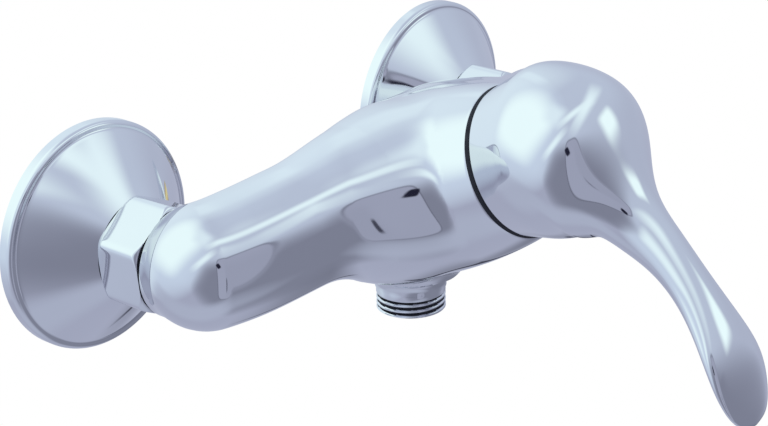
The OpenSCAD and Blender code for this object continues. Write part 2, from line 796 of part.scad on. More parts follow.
function handle_ring(row) =
    let (
        depth = (row[0] + row[2]) / 2,
        height = (row[1] + row[3]) / 2,
        dd = (row[0] - row[2]) / 2,
        dh = (row[1] - row[3]) / 2
    )
    [for (j = [0 : handle_sides - 1]) let (a = -360 * j / handle_sides)
        [row[4] * cos(a), -depth - dd * sin(a), height + dh * sin(a)]];

// Hollow of the head, in the cartridge frame
module head_hollow() {
    wide = head_radius - hollow_wall;
    rotate_extrude() polygon(concat(
        [[0, -1], [rim_inner, -1], [rim_inner, rim_bottom + 0.2], [rim_inner + 0.2, head_swell[0][0] + 1]],
        [for (i = [0 : 8]) let (a = hollow_end * i / 8) [wide * cos(a), hollow_start + hollow_rise * sin(a)]],
        [[0, hollow_start + hollow_rise * sin(hollow_end)]]
    ));
}

module handle() {
    color("lightsteelblue") difference() {
        union() {
            difference() {
                skin([for (row = resample(handle_rows, handle_steps)) handle_ring(row)]);
                at_cartridge() rotate(180 / handle_sides) head_hollow();
            }
            at_pivot(rest_lean) translate([0, 0, socket_bottom])
                cylinder(r = socket_radius, h = stem_reach + socket_roof - socket_bottom);
            at_pivot(rest_lean) translate([0, 0, grub_height]) rotate([90, 0, 0])
                cylinder(r = grub_radius + 2.2, h = grub_boss_reach);
        }
        at_pivot(rest_lean) cylinder(r = stem_radius + running_fit, h = stem_reach + 0.2);
        at_pivot(rest_lean) translate([0, 0, grub_height]) rotate([90, 0, 0]) {
            cylinder(r = grub_radius + thread_fit, h = plug_start + eps);
            translate([0, 0, plug_start]) cylinder(r = plug_radius + thread_fit, h = head_radius);
        }
        at_cartridge() translate([0, 0, -pivot_depth]) sphere(r = handle_clear - 0.02);
    }
}

module handle_grub_screw() {
    color("dimgray") at_pivot(rest_lean) translate([0, 0, grub_height]) rotate([90, 0, 0]) difference() {
        translate([0, 0, grub_start]) cylinder(r = grub_radius, h = grub_length);
        translate([0, 0, grub_start + grub_length - 2.4]) cylinder(r = 1.44, h = 3, $fn = 6);
    }
}

module grub_screw_plug() {
    color("darkslategray") at_pivot(rest_lean) translate([0, 0, grub_height]) rotate([90, 0, 0])
        translate([0, 0, plug_start]) cylinder(r = plug_radius, h = plug_length);
}

body();
outlet_nipple();
outlet_seal_ring();
wall_flange(-1);  // left_wall_flange
eccentric_union(-1);  // left_eccentric_union
inlet_washer(-1);  // left_inlet_washer
union_nut(-1);  // left_union_nut
inlet_nipple(-1);  // left_inlet_nipple
check_valve_cage(-1);  // left_check_valve_cage
check_valve_poppet(-1);  // left_check_valve_poppet
check_valve_spring(-1);  // left_check_valve_spring
wall_flange(1);  // right_wall_flange
eccentric_union(1);  // right_eccentric_union
inlet_washer(1);  // right_inlet_washer
union_nut(1);  // right_union_nut
inlet_nipple(1);  // right_inlet_nipple
check_valve_cage(1);  // right_check_valve_cage
check_valve_poppet(1);  // right_check_valve_poppet
check_valve_spring(1);  // right_check_valve_spring
cartridge_base();
cartridge_port_seals();
fixed_ceramic_disc();
moving_ceramic_disc();
disc_carrier();
cartridge_rotor();
stem_pivot_pin();
lever_stem();
cartridge_housing();
cartridge_clamp_nut();
cover_dome();
handle();
handle_grub_screw();
grub_screw_plug();
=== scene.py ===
"""Looks of a wall-mounted single-lever shower mixer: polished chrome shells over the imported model."""

import json
from math import atan2, cos, degrees, hypot, pi, radians, sin, sqrt, tan

import bmesh
import bpy
import numpy as np
from mathutils import Matrix, Vector


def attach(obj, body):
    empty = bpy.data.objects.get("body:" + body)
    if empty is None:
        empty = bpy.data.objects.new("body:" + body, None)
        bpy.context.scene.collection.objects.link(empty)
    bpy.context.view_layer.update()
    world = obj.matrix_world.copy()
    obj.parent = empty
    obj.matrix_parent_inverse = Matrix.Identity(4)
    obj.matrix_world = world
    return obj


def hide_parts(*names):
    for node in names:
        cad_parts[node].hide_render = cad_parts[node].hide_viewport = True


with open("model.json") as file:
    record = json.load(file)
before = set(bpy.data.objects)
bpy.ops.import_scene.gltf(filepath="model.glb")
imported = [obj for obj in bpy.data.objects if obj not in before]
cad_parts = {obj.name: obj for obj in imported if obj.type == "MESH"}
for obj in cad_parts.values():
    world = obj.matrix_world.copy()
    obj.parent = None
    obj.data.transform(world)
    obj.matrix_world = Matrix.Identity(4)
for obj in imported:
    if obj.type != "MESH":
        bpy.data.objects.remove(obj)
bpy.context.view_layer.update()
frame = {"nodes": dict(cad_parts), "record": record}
NODES = frame["nodes"]
MM = 0.001

# Driving sizes in millimetres and degrees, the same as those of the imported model
INLET = 75.0
FLANGE_RADIUS, FLANGE_DEPTH, FLANGE_RIM, FLANGE_NOSE, FLANGE_WALL = 33.8, 19.6, 4.2, 15.2, 1.2
RIM_ROUND, NOSE_ROUND = 1.6, 0.8
UNION_THREAD, NUT_FLATS, NUT_LENGTH, NUT_LIP, NUT_TURN = 13.22, 30.0, 15.8, 2.4, 36.0
SHANK_RADIUS, SHANK_GRIP = 10.4, 12.0
ELBOW_DEPTH, ELBOW_RISE, ELBOW_RADIUS = 47.0, 1.9, 17.9
ARM_RADIUS, MIDDLE_RADIUS, COLLAR_RADIUS, ARM_ARCH = 18.1, 26.8, 15.5, 1.9
TILT = radians(24.0)
SPLIT_DEPTH, SPLIT_HEIGHT, SPLIT_RADIUS = 98.6, 22.6, 22.0
HOUSING_RADIUS, HOUSING_ROUND, SEAT_DEPTH, PIVOT_HEIGHT = 26.9, 13.0, 40.0, 22.0
CARTRIDGE_RADIUS, CLAMP_RADIUS = 17.4, 18.6
OUTLET_DEPTH, OUTLET_DROP, OUTLET_THREAD, OUTLET_LENGTH = 56.1, 33.9, 10.48, 7.4
OUTLET_SHANK, OUTLET_GRIP, OUTLET_WATERWAY, OUTLET_SOCKET = 8.8, 9.5, 5.2, 12.0
HEAD_RADIUS, HEAD_CENTRE, LEVER_REACH, LEVER_DROP = 24.6, 16.0, 177.3, 35.6
PADDLE_HALF, NECK_HALF, PADDLE_THICK = 11.8, 7.7, 7.0
BODY_FACE, RIM_BOTTOM, RIM_WALL = -0.4, 0.4, 1.0
JOINT_GAP, FIT, LIFT_GAP = 0.25, 0.08, 0.3
# Thread of the hose nipple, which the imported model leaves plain
THREAD_PITCH, THREAD_DEEP = 1.814, 0.85

# Sizes that follow from them
NUT_BACK = FLANGE_DEPTH + JOINT_GAP
NUT_FRONT = NUT_BACK + NUT_LENGTH
NUT_BORE = UNION_THREAD + FIT
BODY_BACK = NUT_FRONT + JOINT_GAP
HOUSING_BACK = -SEAT_DEPTH - 2.0
MIDDLE_DEPTH = SPLIT_DEPTH - SEAT_DEPTH * cos(TILT) + 0.5
MIDDLE_RISE = SPLIT_HEIGHT - SEAT_DEPTH * sin(TILT) + 1.2
PIVOT_DEPTH = SEAT_DEPTH - PIVOT_HEIGHT
CARTRIDGE_BORE, CLAMP_BORE, SHOULDER_DEPTH = CARTRIDGE_RADIUS + FIT, CLAMP_RADIUS + FIT, PIVOT_DEPTH - 4.0
HANDLE_CLEAR = hypot(SPLIT_RADIUS - RIM_WALL, RIM_BOTTOM + PIVOT_DEPTH)
SHOULDER_SPHERE = HANDLE_CLEAR - LIFT_GAP
OUTLET_BORE = OUTLET_SHANK + FIT

# How the arms rise, arch and swell along their length, and how the housing widens
RISE_PACE, ARCH_PACE, ARCH_ROUND, ELBOW_PACE = 1.65, 1.2, 0.15, 6.0
SWELL_FROM, SWELL_OVER, BARREL_CURVE = 0.35, 0.51, 2.2
# The boss over the outlet: its neck, its round cove, its lift over the thread, its taper and its top
BOSS_NECK, BOSS_COVE, BOSS_LIFT, BOSS_TAPER, BOSS_TOP = OUTLET_THREAD + 0.3, 4.6, 0.6, 0.38, 20.0
# Widths over which the casting's shapes run into each other, and the depth over which the arms' one fades
ARM_BLEND, COLLAR_BLEND, BOSS_BLEND, BLEND_FADE = 28.0, 1.2, 3.0, 30.0
# What housing, collars and boss have to spare where a cut ends them
HOUSING_SPARE, COLLAR_SPARE, BOSS_SPARE = 5.4, 4.9, 3.0
# Box and step of the grid on which the casting's skin is found
CASTING_LOW = (-INLET - 19, -SPLIT_DEPTH - 14, -31)
CASTING_HIGH = (INLET + 19, -26, 52)
CASTING_STEP = 1.2
# Heights of the round shoulder inside the handle's rim, from the body's face down
SHOULDER_HEIGHTS = (BODY_FACE, -0.9, -1.4, -2.0, -2.6, -3.2)
# Depth and width of the rebate at the seam between body and union nut: it widens the gap, and its faces get
# the painted shade
SEAM = 0.7
# Hollow of the handle's head: its wall, where its dome starts and how high the dome is
HOLLOW_WALL, HOLLOW_START, HOLLOW_RISE = 4.4, 14.0, 16.5


def smooth(t):
    """Eases from 0 to 1 as t does."""
    c = np.clip(t, 0.0, 1.0)
    return c * c * (3.0 - 2.0 * c)


def blended(a, b, width):
    """The smaller of two values, rounded off over that width: of two fields, their smooth union."""
    h = np.maximum(width - np.abs(a - b), 0.0) / width
    return np.minimum(a, b) - h * h * width / 4


def at_inlet(points, side):
    """Points drawn round +Z, laid out from the wall at the left (-1) or right (1) inlet."""
    x, y, z = np.asarray(points, float).T
    return np.stack([x + side * INLET, -z, y], 1)


def at_cartridge(points):
    """Points drawn round the cartridge's axis, laid out in the mixer's frame."""
    x, across, along = np.asarray(points, float).T
    a, b = sin(TILT), cos(TILT)
    return np.stack([x, across * a - along * b - SPLIT_DEPTH, across * b + along * a + SPLIT_HEIGHT], 1)


def at_outlet(points):
    """Points drawn round +Z, laid out at the hose outlet."""
    return points + np.array([0, -OUTLET_DEPTH, 0])


def new_object(name, points, faces):
    """Mesh object from points in millimetres."""
    mesh = bpy.data.meshes.new(name)
    mesh.from_pydata((np.asarray(points) * MM).tolist(), [], [list(map(int, f)) for f in faces])
    mesh.validate()
    obj = bpy.data.objects.new(name, mesh)
    bpy.context.scene.collection.objects.link(obj)
    return obj


def shade(obj, angle=32.0):
    """Smooth faces, with sharp edges from that angle on."""
    obj.data.shade_smooth()
    obj.data.set_sharp_from_angle(angle=radians(angle))


def dress(shell, body, node_name):
    """Gives a shell its chrome faces and its faces of painted shade, the body that it rides on and the node
    that it stands for.
    """
    index = [p.material_index for p in shell.data.polygons]
    shell.data.materials.clear()
    shell.data.materials.append(CHROME)
    shell.data.materials.append(PAINTED_SHADE)
    shell.data.polygons.foreach_set("material_index", index)
    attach(shell, body)
    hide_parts(node_name)


def grid_faces(rings, sides, closed_rings=False):
    """Quads between rings of points, with the sides going round."""
    faces = []
    for i in range(rings if closed_rings else rings - 1):
        a, b = i * sides, (i + 1) % rings * sides
        for j in range(sides):
            k = (j + 1) % sides
            faces.append((a + j, a + k, b + k, b + j))
    return faces


def end_fans(rings, sides):
    """Triangles that close the first and the last ring with two more points, one for each."""
    start, last = rings * sides, (rings - 1) * sides
    faces = []
    for j in range(sides):
        k = (j + 1) % sides
        faces.append((start, k, j))
        faces.append((start + 1, last + j, last + k))
    return faces


def around(sides):
    """Angles of evenly spaced points all the way round."""
    return np.arange(sides) * 2 * pi / sides


def ring(radius, z, sides):
    """Ring of points round Z. The radius is one number, or one for each point."""
    angle = around(sides)
    return np.stack([radius * np.cos(angle), radius * np.sin(angle), np.full(sides, float(z))], 1)


def rings_of(profile, sides):
    """Rings of a profile of (radius, height) points turned round Z."""
    return [ring(radius, z, sides) for radius, z in profile]


def lathe(name, profile, place, sides):
    """Closed ring from a closed profile that stays off the axis."""
    points = place(np.concatenate(rings_of(profile, sides)))
    obj = new_object(name, points, grid_faces(len(profile), sides, True))
    fix_normals(obj)
    shade(obj)
    return obj


def shadow_rings(obj, sides, rings):
    """Gives the faces of those rings the painted shade, for seams that lie in shadow."""
    index = np.zeros(len(obj.data.polygons), int)
    for i in rings:
        index[i * sides:(i + 1) * sides] = 1
    obj.data.polygons.foreach_set("material_index", index)
    return obj


def fix_normals(obj):
    """Joins points that lie together and turns all faces outwards."""
    bm = bmesh.new()
    bm.from_mesh(obj.data)
    bmesh.ops.remove_doubles(bm, verts=bm.verts, dist=1e-7)
    bmesh.ops.recalc_face_normals(bm, faces=bm.faces)
    bm.to_mesh(obj.data)
    bm.free()


def arc(cx, cy, r, start, end, steps):
    """Points of a round stretch, from one angle in degrees to another."""
    return [(cx + r * cos(radians(start + (end - start) * i / steps)),
             cy + r * sin(radians(start + (end - start) * i / steps))) for i in range(steps + 1)]


# Casting: one smooth skin round the arms, the barrel housing, the collars and the outlet boss
def arm_centre(t):
    """Centre line of the arms, from the left elbow at -1 over the middle at 0 to the right elbow at 1."""
    s = 1.0 - np.abs(t)
    return np.stack([
        t * INLET,
        -ELBOW_DEPTH - (MIDDLE_DEPTH - ELBOW_DEPTH) * (1 - t * t),
        ELBOW_RISE + (MIDDLE_RISE - ELBOW_RISE) * smooth(RISE_PACE * s)
        + ARM_ARCH * np.sin(pi * blended(ARCH_PACE * s, 1.0, ARCH_ROUND)),
    ], -1)


def arm_size(t):
    """Radius of the arms along that line."""
    s = 1.0 - np.abs(t)
    return (ELBOW_RADIUS + (ARM_RADIUS - ELBOW_RADIUS) * smooth(s * ELBOW_PACE)
            + (MIDDLE_RADIUS - ARM_RADIUS) * smooth((s - SWELL_FROM) / SWELL_OVER))


def arm_at(p, tries=41, rounds=5, shrink=0.35):
    """Gap to the arms and the way out of them, from the nearest point of their centre line."""
    def away(t):
        return np.linalg.norm(p - arm_centre(t), axis=1)

    coarse = np.linspace(-1, 1, tries)
    best = np.full(len(p), np.inf)
    t = np.zeros(len(p))
    for value in coarse:
        g = away(np.full(len(p), value))
        t = np.where(g < best, value, t)
        best = np.minimum(g, best)
    step = coarse[1] - coarse[0]
    for _ in range(rounds):
        low, mid, high = np.clip(t - step, -1, 1), t, np.clip(t + step, -1, 1)
        a, b, c = away(low) ** 2, away(mid) ** 2, away(high) ** 2
        bend = np.maximum(a - 2 * b + c, 1e-9)
        t = np.clip(mid + np.clip(0.5 * (a - c) / bend, -1, 1) * step, -1, 1)
        step *= shrink
    way = p - arm_centre(t)
    reach = np.maximum(np.linalg.norm(way, axis=1), 1e-6)
    return reach - arm_size(t), way / reach[:, None]


def housing_at(p):
    """Height along the cartridge axis, gap to the barrel housing and the way out of it."""
    y, z = p[:, 1] + SPLIT_DEPTH, p[:, 2] - SPLIT_HEIGHT
    up = y * sin(TILT) + z * cos(TILT)
    along = z * sin(TILT) - y * cos(TILT)
    across = np.maximum(np.hypot(p[:, 0], up), 1e-6)
    out = np.stack([p[:, 0], up * sin(TILT), up * cos(TILT)], 1) / across[:, None]
    axis = np.array([0, -cos(TILT), sin(TILT)])
    s = np.clip(-along / SEAT_DEPTH, 0.0, 1.0)
    size = SPLIT_RADIUS + (HOUSING_RADIUS - SPLIT_RADIUS) * (1 - (1 - s) ** BARREL_CURVE)
    rim = np.maximum(0.0, across - HOUSING_RADIUS + HOUSING_ROUND)
    reach = np.maximum(np.hypot(rim, HOUSING_BACK - along), 1e-6)
    cap = (rim[:, None] * out + (along - HOUSING_BACK)[:, None] * axis) / reach[:, None]
    front = along > HOUSING_BACK
    gap = np.where(front, np.maximum(across - size, along - BODY_FACE - HOUSING_SPARE), reach - HOUSING_ROUND)
    return along, gap, np.where(front[:, None], out, cap)


def collar_field(p, side):
    """Gap to the collar that meets a union nut."""
    radius = np.hypot(p[:, 0] - side * INLET, p[:, 2])
    behind = p[:, 1] + BODY_BACK - COLLAR_SPARE
    return np.maximum.reduce([radius - COLLAR_RADIUS, -p[:, 1] - ELBOW_DEPTH, behind])


def boss_field(p):
    """Gap to the boss, which comes down in a round cove to the outlet nipple."""
    radius = np.hypot(p[:, 0], p[:, 1] + OUTLET_DEPTH)
    height = p[:, 2] + OUTLET_DROP - OUTLET_LENGTH - BOSS_LIFT
    wide = radius - BOSS_NECK - BOSS_COVE
    cove = np.where(wide < 0, BOSS_COVE - np.hypot(wide, height), np.hypot(wide, BOSS_COVE - height))
    side = np.where(height < 0, radius - BOSS_NECK, cove)
    side = np.where(height > BOSS_COVE, wide - BOSS_TAPER * (height - BOSS_COVE), side)
    return np.maximum.reduce([side, height - BOSS_TOP, -height - BOSS_SPARE])


def casting_field(p):
    """Where arm and housing meet squarely the blend is full, and where they run alike there is none."""
    arm, arm_out = arm_at(p)
    along, gap, out = housing_at(p)
    turn = 1 - np.maximum(0.0, (arm_out * out).sum(1))
    f = blended(arm, gap, np.maximum(1e-6, ARM_BLEND * turn * smooth(-along / BLEND_FADE)))
    for side in (-1, 1):
        f = blended(f, collar_field(p, side), COLLAR_BLEND)
    return blended(f, boss_field(p), BOSS_BLEND)


def slope_of(field, p, step=0.04):
    """Slope of a field at those points, from differences."""
    out = np.zeros_like(p)
    for i in range(3):
        d = np.zeros(3)
        d[i] = step
        out[:, i] = (field(p + d) - field(p - d)) / (2 * step)
    return out


def surface_net(field, low, high, step, batches=8):
    """Closed quad mesh of the zero surface of a field on a regular grid."""
    axes = [np.arange(low[i], high[i] + step, step) for i in range(3)]
    shape = tuple(len(a) for a in axes)
    points = np.stack(np.meshgrid(*axes, indexing="ij"), -1).reshape(-1, 3)
    value = np.concatenate([field(part) for part in np.array_split(points, batches)]).reshape(shape)
    inside = value < 0
    cells = tuple(n - 1 for n in shape)
    total = np.zeros(cells + (3,))
    count = np.zeros(cells)
    corners = [(i, j, k) for i in (0, 1) for j in (0, 1) for k in (0, 1)]
    for a in corners:
        for axis in range(3):
            if a[axis]:
                continue
            b = tuple(1 if n == axis else a[n] for n in range(3))
            va = value[tuple(slice(a[n], a[n] + cells[n]) for n in range(3))]
            vb = value[tuple(slice(b[n], b[n] + cells[n]) for n in range(3))]
            cut = (va < 0) != (vb < 0)
            t = np.where(cut, va / np.where(cut, va - vb, 1), 0)
            for n in range(3):
                total[..., n] += np.where(cut, a[n] + (t if n == axis else 0), 0)
            count += cut
    active = count > 0
    index = np.full(cells, -1)
    index[active] = np.arange(active.sum())
    place = np.argwhere(active) + total[active] / count[active][:, None]
    quads = []
    for axis in range(3):
        u, v = (axis + 1) % 3, (axis + 2) % 3
        first = [slice(1, -1)] * 3
        second = [slice(1, -1)] * 3
        first[axis], second[axis] = slice(0, -1), slice(1, None)
        one, two = inside[tuple(first)], inside[tuple(second)]
        where = np.argwhere(one != two)
        offset = np.ones(3, int)
        offset[axis] = 0
        g = where + offset
        four = []
        for du, dv in ((-1, -1), (0, -1), (0, 0), (-1, 0)):
            c = g.copy()
            c[:, u] += du
            c[:, v] += dv
            four.append(index[c[:, 0], c[:, 1], c[:, 2]])
        quad = np.stack(four, 1)
        flip = ~one[tuple(where.T)]
        quad[flip] = quad[flip][:, ::-1]
        quads.append(quad)
    return np.asarray(low) + place * step, np.concatenate(quads)


def settle(field, p, rounds=4):
    """Moves points onto the zero surface of the field."""
    for _ in range(rounds):
        g = slope_of(field, p)
        p = p - g * (field(p) / np.maximum((g * g).sum(1), 1e-6))[:, None]
    return p


def cut_by(obj, profile, place, sides=128):
    """Takes a turned shape, whose profile starts and ends on the axis, out of the object."""
    rim = profile[1:-1]
    ends = np.array([(0, 0, profile[0][1]), (0, 0, profile[-1][1])])
    points = place(np.concatenate(rings_of(rim, sides) + [ends]))
    cutter = new_object("cutter", points, grid_faces(len(rim), sides) + end_fans(len(rim), sides))
    fix_normals(cutter)
    modifier = obj.modifiers.new("cut", "BOOLEAN")
    modifier.operation = "DIFFERENCE"
    modifier.solver = "EXACT"
    modifier.object = cutter
    graph = bpy.context.evaluated_depsgraph_get()
    mesh = bpy.data.meshes.new_from_object(obj.evaluated_get(graph))
    obj.modifiers.clear()
    old = obj.data
    obj.data = mesh
    bpy.data.meshes.remove(old)
    bpy.data.objects.remove(cutter)


def polish(obj, field, near=0.03, facing=0.9):
    """Sets the field's true normals where corners lie on its surface. All other faces get the painted shade.
    """
    mesh = obj.data
    mesh.shade_smooth()
    place = np.zeros(len(mesh.vertices) * 3)
    mesh.vertices.foreach_get("co", place)
    place = place.reshape(-1, 3) / MM
    normal = slope_of(field, place)
    normal /= np.maximum(np.linalg.norm(normal, axis=1), 1e-9)[:, None]
    on_skin = np.abs(field(place)) < near
    vertex = np.zeros(len(mesh.loops), int)
    mesh.loops.foreach_get("vertex_index", vertex)
    flat = np.zeros(len(mesh.polygons) * 3)
    mesh.polygons.foreach_get("normal", flat)
    sizes = np.zeros(len(mesh.polygons), int)
    mesh.polygons.foreach_get("loop_total", sizes)
    face = np.repeat(flat.reshape(-1, 3), sizes, 0)
    skin = normal[vertex]
    use = on_skin[vertex] & ((skin * face).sum(1) > facing)
    mesh.normals_split_custom_set(np.where(use[:, None], skin, face).tolist())
    first = np.concatenate([[0], np.cumsum(sizes)[:-1]])
    # Faces off the skin, in bores, cuts and the shoulder inside the handle's gap, get the painted shade
    shade_painted = np.add.reduceat(use.astype(int), first) == 0
    mesh.polygons.foreach_set("material_index", shade_painted.astype(int))


def make_casting():
    """The body's skin, with the cartridge's bore, the two inlets and the outlet's bore cut out of it."""
    points, quads = surface_net(casting_field, CASTING_LOW, CASTING_HIGH, CASTING_STEP)
    obj = new_object("casting", settle(casting_field, points), quads)
    fix_normals(obj)
    wide, above = 34, 26
    mouth = [(0, -SEAT_DEPTH), (CARTRIDGE_BORE, -SEAT_DEPTH), (CARTRIDGE_BORE, -SHOULDER_DEPTH),
             (CLAMP_BORE, -SHOULDER_DEPTH), (CLAMP_BORE, BODY_FACE)]
    mouth += [(sqrt(SHOULDER_SPHERE ** 2 - (z + PIVOT_DEPTH) ** 2), z) for z in SHOULDER_HEIGHTS]
    mouth += [(wide, SHOULDER_HEIGHTS[-1]), (wide, above), (0, above)]
    cut_by(obj, mouth, at_cartridge)
    wide, behind, deep = 26, 20, BODY_BACK + SHANK_GRIP + 1.0
    bore, rebate = SHANK_RADIUS + FIT, COLLAR_RADIUS - SEAM
    inlet = [(0, behind), (wide, behind), (wide, BODY_BACK + SEAM), (rebate, BODY_BACK + SEAM),
             (rebate, BODY_BACK), (bore, BODY_BACK), (bore, deep), (0, deep)]
    for side in (-1, 1):
        cut_by(obj, inlet, lambda p: at_inlet(p, side))
    foot = OUTLET_LENGTH - OUTLET_DROP
    wide, below, deep = 20, foot - 8, foot + OUTLET_GRIP + 1.5
    outlet = [(0, below), (wide, below), (wide, foot), (OUTLET_BORE, foot), (OUTLET_BORE, deep), (0, deep)]
    cut_by(obj, outlet, at_outlet, 96)
    polish(obj, casting_field)
    return obj


# Handle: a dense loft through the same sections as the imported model
def ring_row(z, r):
    """Section round the cartridge's axis: depth and height of its top and bottom edge, and half its width."""
    d, h = SPLIT_DEPTH + z * cos(TILT), SPLIT_HEIGHT + z * sin(TILT)
    return [d - r * sin(TILT), h + r * cos(TILT), d + r * sin(TILT), h - r * cos(TILT), r]


HEAD_DEPTH = SPLIT_DEPTH + HEAD_CENTRE * cos(TILT)
HEAD_HEIGHT = SPLIT_HEIGHT + HEAD_CENTRE * sin(TILT)


def lever_row(out, down, thick, lean, half):
    """Section of the lever, at shares of its reach and drop, with its thickness, lean and half width."""
    d = HEAD_DEPTH + (LEVER_REACH - HEAD_DEPTH) * out
    h = HEAD_HEIGHT - (HEAD_HEIGHT + LEVER_DROP) * down
    x, y = thick / 2 * cos(radians(lean)), thick / 2 * sin(radians(lean))
    return [d + x, h + y, d - x, h - y, half]


GROWTH = HEAD_RADIUS - SPLIT_RADIUS
HANDLE_ROWS = [
    ring_row(RIM_BOTTOM, SPLIT_RADIUS),
    ring_row(5, SPLIT_RADIUS + 0.38 * GROWTH),
    ring_row(10.5, SPLIT_RADIUS + 0.82 * GROWTH),
    ring_row(16.5, HEAD_RADIUS),
    lever_row(0.144, 0.005, 44.3, 96.3, 0.935 * HEAD_RADIUS),
    lever_row(0.241, 0.072, 34.2, 85.6, 0.732 * HEAD_RADIUS),
    lever_row(0.307, 0.156, 23.3, 79.4, 0.537 * HEAD_RADIUS),
    lever_row(0.386, 0.240, 17.2, 77.2, 0.398 * HEAD_RADIUS),
    lever_row(0.514, 0.338, 12.6, 71.0, NECK_HALF + 0.1),
    lever_row(0.659, 0.469, 1.35 * PADDLE_THICK, 53.6, NECK_HALF),
    lever_row(0.781, 0.609, 1.18 * PADDLE_THICK, 38.1, 0.83 * PADDLE_HALF),
    lever_row(0.876, 0.752, PADDLE_THICK, 39.2, PADDLE_HALF),
    lever_row(0.938, 0.887, 0.73 * PADDLE_THICK, 45.0, 0.88 * PADDLE_HALF),
    lever_row(0.975, 0.971, 0.42 * PADDLE_THICK, 47.7, 0.54 * PADDLE_HALF),
    lever_row(0.990, 0.998, 0.09 * PADDLE_THICK, 51.3, 0.05 * PADDLE_HALF),
]


def cubic_through(rows, steps):
    """Natural cubic spline through the rows, with steps points for each span."""
    p = np.asarray(rows, float)
    mid = np.stack([(p[:, 0] + p[:, 2]) / 2, (p[:, 1] + p[:, 3]) / 2, p[:, 4]], 1)
    h = np.linalg.norm(np.diff(mid, axis=0), axis=1)
    n = len(p)
    a = np.eye(n)
    b = np.zeros_like(p)
    for i in range(1, n - 1):
        a[i, i - 1:i + 2] = (h[i - 1], 2 * (h[i - 1] + h[i]), h[i])
        b[i] = 6 * ((p[i + 1] - p[i]) / h[i] - (p[i] - p[i - 1]) / h[i - 1])
    m = np.linalg.solve(a, b)
    out = []
    for i in range(n - 1):
        for k in range(steps):
            x = h[i] * k / steps
            y = h[i] - x
            out.append((m[i] * y ** 3 + m[i + 1] * x ** 3) / (6 * h[i])
                       + (p[i] / h[i] - m[i] * h[i] / 6) * y + (p[i + 1] / h[i] - m[i + 1] * h[i] / 6) * x)
    out.append(p[-1])
    return np.array(out)


def handle_ring(row, sides):
    """Oval of points for one section."""
    a = -around(sides)
    depth, height = (row[0] + row[2]) / 2, (row[1] + row[3]) / 2
    dd, dh = (row[0] - row[2]) / 2, (row[1] - row[3]) / 2
    return np.stack([row[4] * np.cos(a), -depth - dd * np.sin(a), height + dh * np.sin(a)], 1)


def make_handle():
    """Ball head and lever in one loft, with the hollow of the head."""
    sides, span_steps = 144, 14
    outer = [handle_ring(row, sides) for row in cubic_through(HANDLE_ROWS, span_steps)]
    mouth, dome = SPLIT_RADIUS - RIM_WALL, HEAD_RADIUS - HOLLOW_WALL
    hollow = [(mouth + 0.25, RIM_BOTTOM - 0.05), (mouth, RIM_BOTTOM + 0.2), (mouth + 0.1, 3),
              (mouth + 0.2, 6)]
    hollow += [(dome * cos(radians(a)), HOLLOW_START + HOLLOW_RISE * sin(radians(a)))
               for a in range(0, 89, 8)]
    inner = [at_cartridge(points * (1, -1, 1)) for points in rings_of(hollow, sides)]
    rings = inner[::-1] + outer
    faces = grid_faces(len(rings), sides)
    # The hollow inside the head and the cap at its top get the painted shade, in place of the shadow seen
    # through the gap
    shade_painted = np.zeros(len(faces) + 2 * sides, int)
    shade_painted[:len(inner) * sides] = 1
    shade_painted[len(faces)::2] = 1
    top = at_cartridge([(0, 0, HOLLOW_START + HOLLOW_RISE)])
    tip = outer[-1].mean(0, keepdims=True)
    obj = new_object("handle_shell", np.concatenate(rings + [top, tip]), faces + end_fans(len(rings), sides))
    obj.data.polygons.foreach_set("material_index", shade_painted)
    fix_normals(obj)
    shade(obj, 40)
    return obj


def make_flange(side):
    """Bell cover: a rounded rim, a small cove, a straight cone and a flat nose, with an open back."""
    sides, nose_shade_depth = 224, 0.75
    foot, foot_height = FLANGE_RADIUS - 2.6, FLANGE_RIM + 0.6
    slope = degrees(atan2(FLANGE_DEPTH - NOSE_ROUND - foot_height, FLANGE_NOSE - foot))
    profile = [(FLANGE_RADIUS, 0.0), (FLANGE_RADIUS, FLANGE_RIM - RIM_ROUND - 0.2)]
    profile += arc(FLANGE_RADIUS - RIM_ROUND, FLANGE_RIM - RIM_ROUND, RIM_ROUND, 0, 88, 12)
    profile += [(foot + 0.9, FLANGE_RIM - 0.02), (foot + 0.35, FLANGE_RIM + 0.12),
                (foot - 0.1, FLANGE_RIM + 0.5), (foot - 0.6, FLANGE_RIM + 1.0)]
    profile += arc(FLANGE_NOSE - NOSE_ROUND, FLANGE_DEPTH - NOSE_ROUND, NOSE_ROUND, slope - 90, 90, 8)
    under, inner = FLANGE_DEPTH - FLANGE_WALL, FLANGE_RADIUS - FLANGE_WALL
    profile += [(NUT_BORE + 0.3, FLANGE_DEPTH), (NUT_BORE, FLANGE_DEPTH - 0.3), (NUT_BORE, under),
                (FLANGE_NOSE - FLANGE_WALL, under), (foot - 0.7, foot_height - FLANGE_WALL),
                (inner - 0.8, FLANGE_RIM - FLANGE_WALL), (inner, FLANGE_RIM - RIM_ROUND - 0.4), (inner, 0.0)]
    name = "left_bell" if side < 0 else "right_bell"
    bell = lathe(name, profile, lambda p: at_inlet(p, side), sides)
    # The rows at the nose's front face, beside the union nut, get the painted shade of the seam between them
    face = [i for i, (r, z) in enumerate(profile) if z > FLANGE_DEPTH - nose_shade_depth]
    return shadow_rings(bell, sides, range(face[0], face[-1] + 1))


